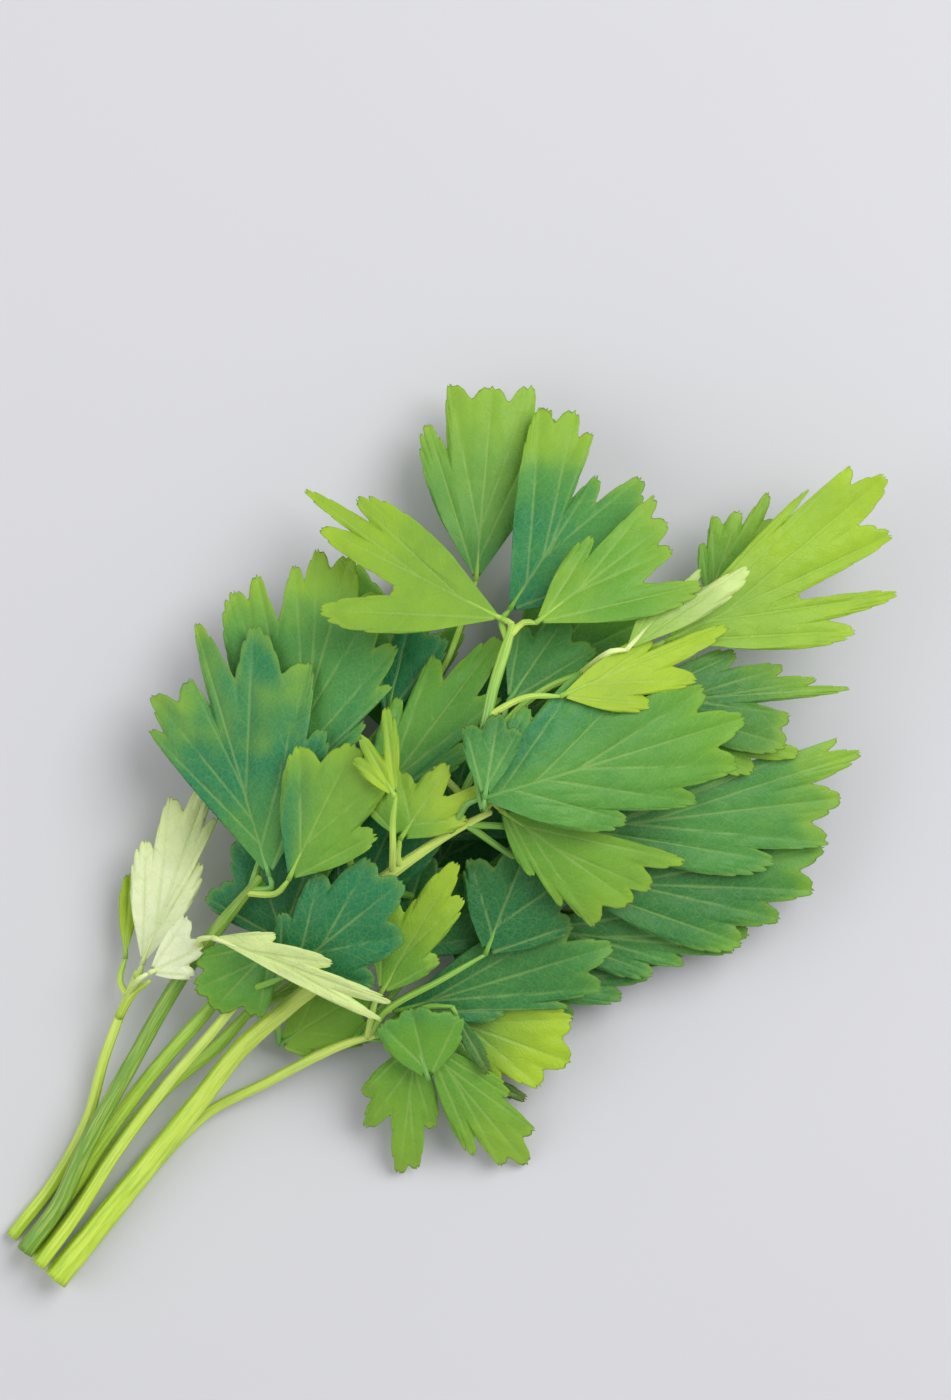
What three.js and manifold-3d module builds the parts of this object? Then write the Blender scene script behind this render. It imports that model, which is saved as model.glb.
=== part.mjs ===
// A bunch of flat-leaf parsley, cut and laid down on its side.
//
// Millimetres, +Z up. The bunch lies along +X: the cut ends of the stems are at the
// low end and the leaf tips at the high end. +Y is across the bunch, to the left of
// someone who looks from the cut ends toward the leaves. Every leaf blade and every
// stem is a separate closed solid, and neighbours keep a small gap.

import * as THREE from 'three';
import * as BufferGeometryUtils from 'three/addons/utils/BufferGeometryUtils.js';
import Module from 'manifold-3d';

const wasm = await Module();
wasm.setup();

// ---------------------------------------------------------------- driving sizes

// The head of leaves is a low dome. A leaf's level, from 0 on the ground to 10 on
// top of the dome, says which share of the dome's height it lies at, so leaves on
// different levels never meet.
const HEAD = {
  centre: [120, 4],
  halfLength: 82,
  halfWidth: 60,
  crown: 54,
  rim: 15,
  fall: 1.6,
  levels: 10,
};

// A leaf blade: how thick it is, how wide its stalk end is, how far its flanks
// spread past the outer lobes, and how high a notch usually stands between two lobes.
const BLADE = {
  thickness: 0.7,
  neck: 1.1,
  flankTurn: 13,
  flankReach: 0.42,
  shoulderTurn: 7,
  shoulderReach: 0.83,
  notch: 0.78,
  rows: 3,
};

// Beside a lobe, the edge has fallen this share of the way to the notch, for shallow
// and for deep notches. It stands at this share of the gap between two lobes.
const EDGE = { place: 0.22, fallenShallow: 0.19, fallenDeep: 0.44, shallow: 0.92, deep: 0.66 };

// Notches wider than this many degrees get a shoulder on both sides, narrower ones
// only their lowest point.
const WIDE_NOTCH_TURN = 11;

// Corners of a solid that are nearer than this are one corner.
const SEAM = 1e-4;

const STEM = { sides: 8, step: 7 };
const STALK = { sides: 5, step: 9, radius: [0.65, 0.55], intoBlade: 3 };

// The whole bunch is moved from the drawing's corner, at the cut end of the main
// stem, to the middle of its own footprint.
const CENTRE_OF_FOOTPRINT = [102.4, 6];

// ---------------------------------------------------------------- colours

const COLOURS = {
  leaf_yellow: '#a9cb3b',
  leaf_bright: '#8dba45',
  leaf_green: '#5c9c44',
  leaf_deep: '#1f6e48',
  leaf_pale: '#d3e2a6',
  stem_green: '#b4cc48',
  stem_dark: '#6f9a2e',
};

// ---------------------------------------------------------------- the leaves

// base: where the blade joins its stalk. tips: the end of each lobe, in order around
// the base. level: place in the dome. lift: how far the tips rise (or droop, below
// zero) away from the dome. roll: how steeply the blade leans to one side. stalk: the
// places that the leaf's own stalk passes on its way to the base, with their levels.
const LEAVES = {
  // the three leaflets at the crown and the one behind them
  crown_back: {
    base: [143, 31], tips: [[175, 43], [176, 48], [171, 53], [166, 59], [158, 57]],
    level: 4.6, lift: 3, roll: 0.08, notches: [0.95, 0.93, 0.93, 0.82], slot: 'leaf_bright',
    stalk: [[116, 21, 4], [130, 25.4, 4.4]],
  },
  crown_middle: {
    base: [143, 23], tips: [[166, 12], [177, 22], [172, 28], [177, 34], [178, 39], [174, 44]],
    level: 7, roll: -0.05, notches: [0.9, 0.85, 0.8, 0.95, 0.94], slot: 'leaf_deep',
    stalk: [[140.6, 22.6, 8.2]],
  },
  crown_right: {
    base: [144.5, 18], tips: [[170, 1], [171, 9], [174, 13], [176, 18], [163, 21]],
    level: 9, lift: 2, notches: [0.74, 0.93, 0.94, 0.82], slot: 'leaf_bright',
    stalk: [[143.2, 19.6, 8.9]],
  },
  crown_left: {
    base: [141, 23], tips: [[139, 57], [134, 65], [131, 58], [120, 48]],
    level: 8.7, roll: 0.06, notches: [0.86, 0.86, 0.62], slot: 'leaf_bright',
  },

  // the far right sprig, whose tips are the far end of the bunch
  far_right: {
    base: [158, -1],
    tips: [[183, -25], [193, -26], [200, -18], [207, -10], [204, -4], [196, -1.5]],
    level: 7.6, lift: 8, roll: 0.05, notches: [0.86, 0.6, 0.9, 0.95, 0.84], slot: 'leaf_yellow',
  },
  far_right_fold: {
    base: [152, 3], tips: [[178, -3], [172, 3], [164, 5.5]],
    level: 8.62, lift: 4, slot: 'leaf_pale',
    stalk: [[150, 4.8, 8.7]],
  },
  far_right_back: {
    base: [169, -2], tips: [[188, -1], [191, 3.4], [185, 5], [181, 8], [176, 6]],
    level: 5, lift: 2, notches: [0.93, 0.86, 0.9, 0.92], slot: 'leaf_bright',
    stalk: [[156, -2, 5.8]],
  },
  yellow_right: {
    base: [138, 6], tips: [[148, -7], [157, -10], [168, -7.4], [156.6, 0.6]],
    level: 8.33, notches: [0.9, 0.84, 0.9], slot: 'leaf_yellow',
    stalk: [[133.6, 10.4, 8.4]],
  },

  // the right side of the head, from the upper blades down to the lowest
  upper_right: {
    base: [146, -4],
    tips: [[159.5, -30], [164, -27], [175, -31.5], [172, -26], [169.5, -20], [165.5, -12]],
    level: 6.7, notches: [0.95, 0.78, 0.94, 0.94, 0.88], slot: 'leaf_green',
    stalk: [[127, 3, 6.6], [138, -1, 6.7]],
  },
  small_right: {
    base: [145, -10], tips: [[152, -29], [160, -33], [161, -25]],
    level: 6.1, notches: [0.93, 0.93], slot: 'leaf_bright',
    stalk: [[133, 0, 5.9]],
  },
  big_fan: {
    base: [115, 4],
    tips: [
      [130, -18], [141, -25], [151, -26], [158, -21], [157, -12], [151, -2], [144, 6], [133, 9],
    ],
    level: 8, notches: [0.93, 0.93, 0.93, 0.93, 0.93, 0.9, 0.88], slot: 'leaf_green',
    stalk: [[112.6, 5, 7.6]],
  },
  right_middle: {
    base: [122, -12],
    tips: [[143, -43], [152, -48], [159.5, -44], [168, -41], [167, -36], [160, -32], [152, -25]],
    level: 5.4, notches: [0.9, 0.93, 0.9, 0.95, 0.93, 0.9], slot: 'leaf_green',
    stalk: [[118, -7, 5.7]],
  },
  right_lower: {
    base: [114, -17], tips: [[128, -49], [136, -51], [144, -52], [151, -48], [150, -40]],
    level: 4.5, notches: [0.94, 0.93, 0.94, 0.93], slot: 'leaf_green',
    stalk: [[112, -11, 4.6]],
  },
  bottom_right: {
    base: [104, -19], tips: [[113, -41], [118, -44], [126, -49], [130, -49], [137, -47]],
    level: 3.6, notches: [0.94, 0.93, 0.95, 0.94], slot: 'leaf_green',
    stalk: [[77, -12.6, 3.6], [92, -17, 3.4]],
  },
  dark_right: {
    base: [88, -14], tips: [[97, -36], [106, -40], [112, -41], [119, -43], [122, -36]],
    level: 2.7, notches: [0.94, 0.95, 0.95, 0.94], slot: 'leaf_green',
    stalk: [[76, -10, 3]],
  },
  dark_lower: {
    base: [76, -11], tips: [[90, -26], [98, -34], [105, -36], [112, -32], [110, -23]],
    level: 4.2, notches: [0.94, 0.94, 0.94, 0.94], slot: 'leaf_deep',
  },
  bright_lower: {
    base: [81, -17], tips: [[79, -34], [84, -40], [91, -41], [97, -36]],
    level: 3.4, notches: [0.95, 0.95, 0.94], slot: 'leaf_bright',
    stalk: [[75, -13, 3.6]],
  },
  hanging_bright: {
    base: [116, 0],
    tips: [[111.4, -12.6], [110.5, -20], [112, -27], [120, -29], [124, -30], [132, -31]],
    level: 6.5, lift: -1, notches: [0.96, 0.95, 0.93, 0.94, 0.9], slot: 'leaf_bright',
  },

  // the two leaflets that hang below the head
  hanging_left: {
    base: [75, -17.6], tips: [[61, -17], [56.6, -22], [54.6, -32.4], [57.4, -34], [65, -31]],
    level: 4.2, lift: -7, notches: [0.97, 0.78, 0.97, 0.95], slot: 'leaf_green',
    stalk: [[75, -14.2, 4]],
  },
  hanging_right: {
    base: [76, -19], tips: [[66.6, -40], [68.4, -45], [71.8, -48.4], [77.4, -45], [79, -37]],
    level: 4.7, lift: -8, notches: [0.84, 0.97, 0.97, 0.95], slot: 'leaf_green',
    stalk: [[76.4, -14.8, 4.7]],
  },
  hanging_back: {
    base: [71.4, -24], tips: [[73, -10.5], [79, -12.5], [84, -20]],
    level: 5.5, notches: [0.95, 0.93], slot: 'leaf_green',
  },
  dark_sliver: {
    base: [84, -18], tips: [[79.5, -31.5]],
    level: 5, slot: 'leaf_deep',
    stalk: [[80.4, -14.6, 4.7]],
  },
  low_sliver: {
    base: [77, -29], tips: [[80.6, -40]],
    level: 2.4, slot: 'leaf_green',
    stalk: [[76.4, -21, 3]],
  },

  // small young leaflets on top of the left half
  yellow_left: {
    base: [100, 9.4], tips: [[111, 3], [118, 4.5], [116, 12], [109, 18], [101, 20]],
    level: 7.3, notches: [0.88, 0.7, 0.84, 0.78], slot: 'leaf_yellow',
    stalk: [[97.6, 7.8, 7]],
  },
  small_yellow: {
    base: [105, 15], tips: [[115.5, 27.5], [109, 27.5], [104.8, 25.5]],
    level: 8.3, notches: [0.62, 0.86], slot: 'leaf_yellow',
    stalk: [[98.4, 9.6, 7.6], [101.6, 12.6, 8]],
  },
  yellow_inner: {
    base: [77, -7], tips: [[89, -10.5], [100, -6], [104, -1], [92, 6]],
    level: 5.7, notches: [0.95, 0.95, 0.78], slot: 'leaf_bright',
  },
  dark_inner: {
    base: [95, -16], tips: [[110, -24], [118, -18], [115, -8], [106, -2]],
    level: 5, notches: [0.92, 0.9, 0.9], slot: 'leaf_deep',
    stalk: [[76, -10, 5.2], [86, -13.2, 5.3]],
  },

  // the big leaf on the left, in three blades
  big_left: {
    base: [79, 22],
    tips: [[105, 33], [112, 43], [110, 55], [103, 63], [95, 57], [88, 60], [83, 56]],
    level: 7, notches: [0.9, 0.93, 0.8, 0.84, 0.92, 0.94], slot: 'leaf_green',
  },
  big_left_inner: {
    base: [81, 19], tips: [[98, 13], [107, 19], [107, 27], [100, 34]],
    level: 7.7, notches: [0.9, 0.92, 0.9], slot: 'leaf_bright',
    stalk: [[77.6, 19, 7.4]],
  },
  upper_left: {
    base: [92, 30],
    tips: [
      [111, 28.5], [119, 29], [125, 33.5], [130, 42], [131, 51], [128, 56], [123, 57], [117, 61],
      [112, 62],
    ],
    level: 6, notches: [0.94, 0.94, 0.92, 0.94, 0.93, 0.93, 0.78, 0.94], slot: 'leaf_green',
    stalk: [[80.4, 25.4, 6.2]],
  },
  round_dark: {
    base: [114, 26], tips: [[132, 28], [130, 35], [123, 37]],
    level: 4.5, notches: [0.93, 0.93], slot: 'leaf_deep',
    stalk: [[98, 22.6, 4.7]],
  },
  round_green: {
    base: [100, 17], tips: [[121.5, 11.6], [131, 13.4], [138.6, 21], [128.4, 27.6], [118.6, 26.8]],
    level: 5.3, notches: [0.9, 0.9, 0.88, 0.88], slot: 'leaf_green',
    stalk: [[64, 13.6, 4.8], [76, 13.6, 4.5], [90, 15.4, 4.7]],
  },
  round_back: {
    base: [131, 12], tips: [[149, 7], [150, 15], [143, 20]],
    level: 6.2, notches: [0.85, 0.88], slot: 'leaf_green',
    stalk: [[122, 7.6, 6]],
  },

  // the deep green leaves that fill the middle of the head
  middle_left: {
    base: [72, 12], tips: [[94, 22], [82, 31], [68, 28]],
    level: 5, notches: [0.88, 0.88], slot: 'leaf_deep',
  },
  middle_top: {
    base: [81, 6], tips: [[106, 5], [107, 14], [98, 24]],
    level: 4.2, notches: [0.92, 0.9], slot: 'leaf_deep',
    stalk: [[62.4, 8, 3.7]],
  },
  middle_low: {
    base: [84, -4], tips: [[98, -15], [105, -8], [101, 4]],
    level: 3.6, notches: [0.9, 0.9], slot: 'leaf_deep',
    stalk: [[63, 6, 3.3]],
  },

  // the small leaf where the crown's stalk leaves the head
  crown_cover: {
    base: [115.6, 3.4], tips: [[129, 7.4], [128.6, 12], [123, 15]],
    level: 8.5, notches: [0.93, 0.9], slot: 'leaf_green',
  },

  // the dark leaf that covers the main stem inside the head
  cover: {
    base: [67, 8], tips: [[78, -5], [88, -3], [95, 4], [94, 11], [86, 16], [76, 16]],
    level: 7.3, notches: [0.92, 0.93, 0.95, 0.93, 0.92], slot: 'leaf_deep',
    stalk: [[64, 9.4, 6.8]],
  },

  // the pale leaflets where the stems enter the head
  pale_left: {
    base: [51, 28], tips: [[72, 33], [80, 36], [85, 42], [77, 45], [68, 43]],
    level: 4, notches: [0.95, 0.92, 0.93, 0.93], slot: 'leaf_pale',
  },
  pale_edge: {
    base: [49.5, 31], tips: [[61.5, 41]],
    level: 2.8, slot: 'leaf_bright',
    stalk: [[46, 29, 3]],
  },
  pale_fold: {
    base: [64, 22], tips: [[74, -10.5], [77.5, -9.5], [75.6, 3], [72.5, 14]],
    level: 8.4, notches: [0.8, 0.9, 0.94], slot: 'leaf_pale',
    stalk: [[62, 23.4, 7.6]],
  },
  pale_curl: {
    base: [51, 26], tips: [[56.5, 19.5], [61.5, 22], [63.5, 28]],
    level: 6.6, notches: [0.88, 0.9], slot: 'leaf_pale',
  },
  under_left: {
    base: [71, 13], tips: [[58.5, 21.8], [54.4, 18], [54, 13], [58.5, 6]],
    level: 6.2, notches: [0.93, 0.95, 0.93], slot: 'leaf_green',
  },
  under_stems: {
    base: [57, 0], tips: [[60, -6.5], [70, -12], [76, -5], [73, 3]],
    level: 2, notches: [0.93, 0.93, 0.93], slot: 'leaf_green',
    stalk: [[57, 1.6, 3]],
  },

  // the leaves underneath, which carry the head on the ground
  ground_middle: {
    base: [95, 0], tips: [[115, -14], [126, -8], [128, 6], [118, 16]],
    level: 1.2, slot: 'leaf_deep',
    stalk: [[66, 6, 1.8], [80, 3, 1.6]],
  },
  ground_left: {
    base: [88, 16], tips: [[108, 24], [112, 36], [103, 46], [92, 44]],
    level: 1.4, slot: 'leaf_green',
    stalk: [[62, 15.6, 1.9], [75, 16.4, 1.7]],
  },
  ground_top: {
    base: [112, 24], tips: [[136, 28], [140, 40], [130, 50], [118, 50]],
    level: 1.7, slot: 'leaf_green',
    stalk: [[86, 20, 2.6]],
  },
  ground_far: {
    base: [132, 10], tips: [[152, -4], [164, 2], [166, 14], [156, 24]],
    level: 1.6, slot: 'leaf_green',
    stalk: [[106, 6, 2.1]],
  },
  ground_right: {
    base: [126, -8], tips: [[140, -36], [152, -34], [160, -22], [152, -10]],
    level: 2.2, slot: 'leaf_green',
    stalk: [[100, -4, 2]],
  },
  ground_lower: {
    base: [92, -8], tips: [[90, -26], [96, -34], [108, -36], [112, -26]],
    level: 1.4, slot: 'leaf_green',
    stalk: [[68, -3, 1.5]],
  },
  core: {
    base: [104, 4], tips: [[130, -12], [140, 4], [136, 18], [124, 30]],
    level: 2.8, slot: 'leaf_deep',
    stalk: [[66, 5.4, 2.95], [84, 4, 3]],
  },
};

// ---------------------------------------------------------------- the stems

// path: points along the middle of the stem. radius: at the low end and at the high
// end. A fork is a second path that grows out of the first.
const STEMS = {
  main_stem: {
    path: [
      [-2, 0.5, 4.9], [20, 2, 5], [40, 3.5, 7.4], [52, 4.5, 11], [64, 3.4, 15.4], [72, 2.6, 18.8],
      [78, 5, 22.4], [84, 7.6, 26], [91, 7, 29.6], [103, 4.6, 34.2], [110, 2.6, 36], [114.4, 1, 35.6],
    ],
    radius: [2.3, 0.9], slot: 'stem_green',
  },
  hanging_stem: {
    path: [[-2, 1, 1.2], [20, 1.2, 1.2], [38, 1, 2.2], [50, -3, 5], [64, -8, 10], [73, -13, 15.4]],
    radius: [1.1, 0.85], slot: 'stem_green',
  },
  fourth_stem: {
    path: [[-2, 4.8, 1.7], [10, 6.2, 1.7], [23, 8.6, 1.8], [37, 9.6, 3.6], [49, 8, 7.6], [61, 8, 11.6]],
    radius: [1.5, 1.2], slot: 'stem_green',
  },
  third_stem: {
    path: [[-2, 8.2, 1.7], [12, 9.6, 2.8], [21, 11.2, 4.4], [35, 13, 6.4], [51, 13.6, 10.4], [62, 13.8, 15]],
    radius: [1.5, 1.2], slot: 'stem_green',
  },
  short_stem: {
    path: [[-2, 4.4, 7], [10, 5.8, 7], [23, 8.2, 7.8], [38, 9.8, 10.6], [52, 10.4, 14.4], [70.6, 11.6, 18.8]],
    radius: [1.2, 0.8], slot: 'stem_green',
  },
  dark_stem: {
    path: [
      [-2, 8, 5.3], [9, 9.4, 6.4], [20, 13, 8], [36, 17, 9.6], [53, 21, 12.6], [66, 22.4, 18],
      [77.5, 23, 24.4],
    ],
    radius: [1.6, 1.2], slot: 'stem_dark',
  },
  left_stem: {
    path: [[-2, 11.6, 1.8], [11, 12.8, 2], [23, 16, 3.6], [34, 21.6, 5.6], [49.4, 27.8, 9.6]],
    radius: [1.2, 0.8], slot: 'stem_green',
    fork: { path: [[41, 24.6, 7.6], [46, 25.6, 10.6], [50, 25, 15]], radius: [0.8, 0.6] },
  },
  crown_stalk: {
    path: [[118.4, 8.2, 41], [123, 10.8, 41.8], [131, 15.6, 42], [141.4, 20.6, 40.6]],
    radius: [0.9, 1], slot: 'stem_green',
  },
  far_right_stalk: {
    path: [
      [110, 5.4, 33.4], [118, 8, 34.6], [128, 9.8, 34.6], [137, 8.8, 33.4], [146, 4.6, 30.9],
      [155.5, 0.2, 29.2],
    ],
    radius: [0.7, 0.6], slot: 'stem_dark',
  },
};

// ---------------------------------------------------------------- leaf blades

const mix = (from, to, share) => from + (to - from) * share;

function headHeight(x, y) {
  const along = (x - HEAD.centre[0]) / HEAD.halfLength;
  const across = (y - HEAD.centre[1]) / HEAD.halfWidth;
  const fallen = Math.exp(-HEAD.fall * (along * along + across * across));
  return mix(HEAD.rim, HEAD.crown, fallen);
}

// The lobes seen from the base: a turn in degrees and a reach in millimetres each.
function lobesOf(leaf) {
  const middle = leaf.tips.reduce((sum, tip) => [sum[0] + tip[0], sum[1] + tip[1]], [0, 0]);
  const heading = Math.atan2(
    middle[1] / leaf.tips.length - leaf.base[1],
    middle[0] / leaf.tips.length - leaf.base[0],
  );
  const lobes = leaf.tips.map(([x, y]) => {
    const away = new THREE.Vector2(x - leaf.base[0], y - leaf.base[1]);
    const reach = away.length();
    away.rotateAround(new THREE.Vector2(), -heading);
    const turn = THREE.MathUtils.euclideanModulo(away.angle() + Math.PI, 2 * Math.PI) - Math.PI;
    return { turn: THREE.MathUtils.radToDeg(turn), reach };
  });
  lobes.sort((a, b) => a.turn - b.turn);
  return { heading, lobes };
}

// The outline as a list of columns, each with a turn and a reach, from one flank of
// the blade to the other.
function outlineOf(leaf) {
  const { heading, lobes } = lobesOf(leaf);
  const notches = leaf.notches ?? lobes.slice(1).map(() => BLADE.notch);
  const first = lobes[0];
  const last = lobes[lobes.length - 1];
  const columns = [
    { turn: first.turn - BLADE.flankTurn, reach: first.reach * BLADE.flankReach },
    { turn: first.turn - BLADE.shoulderTurn, reach: first.reach * BLADE.shoulderReach },
  ];
  lobes.forEach((lobe, index) => {
    columns.push(lobe);
    if (lobe === last) {
      return;
    }
    const next = lobes[index + 1];
    const wide = next.turn - lobe.turn;
    const low = notches[index] * Math.min(lobe.reach, next.reach);
    const middle = { turn: mix(lobe.turn, next.turn, 0.5), reach: low };
    if (wide > WIDE_NOTCH_TURN) {
      const deepness = THREE.MathUtils.smoothstep(-notches[index], -EDGE.shallow, -EDGE.deep);
      const fallen = mix(EDGE.fallenShallow, EDGE.fallenDeep, deepness);
      columns.push({ turn: lobe.turn + wide * EDGE.place, reach: mix(lobe.reach, low, fallen) });
      columns.push(middle);
      columns.push({ turn: next.turn - wide * EDGE.place, reach: mix(next.reach, low, fallen) });
    } else {
      columns.push(middle);
    }
  });
  columns.push({ turn: last.turn + BLADE.shoulderTurn, reach: last.reach * BLADE.shoulderReach });
  columns.push({ turn: last.turn + BLADE.flankTurn, reach: last.reach * BLADE.flankReach });
  const longest = Math.max(...lobes.map((lobe) => lobe.reach));
  return { heading, columns, longest };
}

// A thin box is bent into the blade: its width runs around the columns, its height
// from the stalk end to the outline, and its depth through the blade.
function bladeGeometry(leaf) {
  const { heading, columns, longest } = outlineOf(leaf);
  const spans = columns.length - 1;
  const geometry = new THREE.BoxGeometry(1, 1, 1, spans, BLADE.rows, 1);
  const position = geometry.attributes.position;
  for (let index = 0; index < position.count; index += 1) {
    const column = columns[Math.round((0.5 - position.getX(index)) * spans)];
    const outward = position.getY(index) + 0.5;
    const side = position.getZ(index);
    const distance = mix(BLADE.neck, column.reach, outward);
    const angle = heading + THREE.MathUtils.degToRad(column.turn);
    const x = leaf.base[0] + distance * Math.cos(angle);
    const y = leaf.base[1] + distance * Math.sin(angle);
    const across = distance * Math.sin(angle - heading);
    const far = distance / longest;
    const z = headHeight(x, y) * leaf.level / HEAD.levels
      + (leaf.lift ?? 0) * far * far
      + (leaf.roll ?? 0) * across;
    position.setXYZ(index, x, y, z + side * BLADE.thickness);
  }
  return closed(geometry);
}

// ---------------------------------------------------------------- stems

class StemCurve extends THREE.CatmullRomCurve3 {
  constructor(path) {
    super(path.map((point) => new THREE.Vector3(...point)), false, 'centripetal');
  }
}

// A round section is swept along the path, then each ring is drawn in to its radius.
function stemGeometry({ path, radius }, { sides, step }) {
  const curve = new StemCurve(path);
  const steps = Math.max(3, Math.round(curve.getLength() / step));
  const section = new THREE.Shape();
  for (let side = 0; side < sides; side += 1) {
    const angle = 2 * Math.PI * side / sides;
    const point = [radius[0] * Math.cos(angle), radius[0] * Math.sin(angle)];
    if (side === 0) {
      section.moveTo(...point);
    } else {
      section.lineTo(...point);
    }
  }
  const geometry = new THREE.ExtrudeGeometry(section, { steps, extrudePath: curve, bevelEnabled: false });
  const rings = curve.getSpacedPoints(steps);
  const position = geometry.attributes.position;
  const vertex = new THREE.Vector3();
  for (let index = 0; index < position.count; index += 1) {
    vertex.fromBufferAttribute(position, index);
    const ring = nearest(rings, vertex);
    const slimming = mix(1, radius[1] / radius[0], ring / steps);
    vertex.sub(rings[ring]).multiplyScalar(slimming).add(rings[ring]);
    position.setXYZ(index, vertex.x, vertex.y, vertex.z);
  }
  return closed(geometry);
}

// A leaf's own stalk follows the dome's levels to the base and ends inside the blade.
function stalkGeometry(leaf) {
  const { heading } = lobesOf(leaf);
  const inside = [
    leaf.base[0] + STALK.intoBlade * Math.cos(heading),
    leaf.base[1] + STALK.intoBlade * Math.sin(heading),
  ];
  const places = [...leaf.stalk, [...leaf.base, leaf.level], [...inside, leaf.level]];
  const path = places.map(([x, y, level]) => [x, y, headHeight(x, y) * level / HEAD.levels]);
  return stemGeometry({ path, radius: STALK.radius }, STALK);
}

function nearest(points, place) {
  let best = 0;
  points.forEach((point, index) => {
    if (point.distanceToSquared(place) < points[best].distanceToSquared(place)) {
      best = index;
    }
  });
  return best;
}

// ---------------------------------------------------------------- solids

function closed(geometry) {
  geometry.deleteAttribute('normal');
  geometry.deleteAttribute('uv');
  geometry.clearGroups();
  return BufferGeometryUtils.mergeVertices(geometry, SEAM);
}

function joined(first, second) {
  const [one, other] = [first, second].map((geometry) => new wasm.Manifold(new wasm.Mesh({
    numProp: 3,
    vertProperties: new Float32Array(geometry.attributes.position.array),
    triVerts: new Uint32Array(geometry.index.array),
  })));
  const mesh = one.add(other).getMesh();
  const geometry = new THREE.BufferGeometry();
  geometry.setAttribute('position', new THREE.BufferAttribute(mesh.vertProperties, 3));
  geometry.setIndex(new THREE.BufferAttribute(mesh.triVerts, 1));
  return geometry;
}

function solid(name, slot, geometry) {
  geometry.computeVertexNormals();
  const material = new THREE.MeshStandardMaterial({ color: COLOURS[slot], roughness: 0.55, metalness: 0 });
  const mesh = new THREE.Mesh(geometry, material);
  mesh.name = name;
  return mesh;
}

// ---------------------------------------------------------------- the bunch

const bunch = new THREE.Group();

for (const [name, stem] of Object.entries(STEMS)) {
  const trunk = stemGeometry(stem, STEM);
  const geometry = stem.fork ? joined(trunk, stemGeometry(stem.fork, STEM)) : trunk;
  bunch.add(solid(name, stem.slot, geometry));
}

for (const [name, leaf] of Object.entries(LEAVES)) {
  const blade = bladeGeometry(leaf);
  const geometry = leaf.stalk ? joined(blade, stalkGeometry(leaf)) : blade;
  bunch.add(solid(`leaf_${name}`, leaf.slot, geometry));
}

const box = new THREE.Box3().setFromObject(bunch);
bunch.position.set(-CENTRE_OF_FOOTPRINT[0], -CENTRE_OF_FOOTPRINT[1], -box.min.z);

export default bunch;
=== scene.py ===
"""A bunch of flat-leaf parsley, cut and laid on its side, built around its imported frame.

Each leaf is a thin closed shell with lobes, teeth, sunken veins and its own stalk, and
each stem is a ribbed shoot with a cut end. Lengths in the tables are millimetres.
"""

import math

import bmesh
import bpy
from mathutils import Color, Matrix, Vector, noise
from mathutils.geometry import interpolate_bezier


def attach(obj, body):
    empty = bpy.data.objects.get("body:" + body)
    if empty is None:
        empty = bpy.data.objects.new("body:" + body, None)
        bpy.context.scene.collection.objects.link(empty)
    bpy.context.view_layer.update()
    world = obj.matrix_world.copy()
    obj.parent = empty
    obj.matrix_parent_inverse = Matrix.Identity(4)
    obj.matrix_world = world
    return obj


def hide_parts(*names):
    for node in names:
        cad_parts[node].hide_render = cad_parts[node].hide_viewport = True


bl_info = {
    "name": "Parsley Bunch",
    "version": (1, 0, 0),
    "blender": (4, 5, 0),
    "location": "View3D > Sidebar > Parsley",
    "description": "Grows a laid-down bunch of flat-leaf parsley around its packed frame",
    "category": "Add Mesh",
}

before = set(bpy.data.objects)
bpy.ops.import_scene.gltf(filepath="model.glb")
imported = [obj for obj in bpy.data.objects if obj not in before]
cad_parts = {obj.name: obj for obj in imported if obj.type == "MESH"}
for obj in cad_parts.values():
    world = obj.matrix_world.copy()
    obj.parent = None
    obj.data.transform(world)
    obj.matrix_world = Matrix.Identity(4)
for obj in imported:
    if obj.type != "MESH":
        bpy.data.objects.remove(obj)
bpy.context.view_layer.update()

MM = 0.001
BODY = "root"

# The tables start at the cut end of the main stem. The bunch is then moved to the
# middle of its own footprint, with its lowest stem on the ground.
CENTRE_OF_FOOTPRINT = (102.4, 6.0)
LOWEST_STEM = 0.1

# The head of leaves is a low dome, and a leaf's level is its share of the dome's height.
HEAD_CENTRE = (120, 4)
HEAD_HALF_SIZE = (82, 60)
HEAD_CROWN = 54
HEAD_RIM = 15
HEAD_FALL = 1.6
LEVELS = 10

# How a blade leaves its stalk: its width there, and the turn and reach of its flanks.
NECK = 1.1
FLANK_TURN = 13
FLANK_REACH = 0.42
USUAL_NOTCH = 0.78


def leaflet(base, tips, level, finish, tone, **more):
    """A leaf as the tables give it. base: where the blade joins its stalk. tips: the end of
    each lobe, in order around the base. level: place in the dome. finish: the name of its
    material slot. tone: leaf colours from base to tip. Then, where a leaf needs them, lift:
    how far the tips rise, or droop below zero. roll: how steeply the blade leans. notches:
    depth of the gaps between lobes. flanks: turns of the blade's flanks, low side first.
    stalk: places that the stalk passes, with their levels. shade: painted shade on one side of
    the blade, as its colour and the turn, from the midrib, where it is full.
    """
    slot = f"leaf_{finish}"
    return dict(base=base, tips=tips, level=level, slot=slot, tone=tone.split(), **more)


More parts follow.
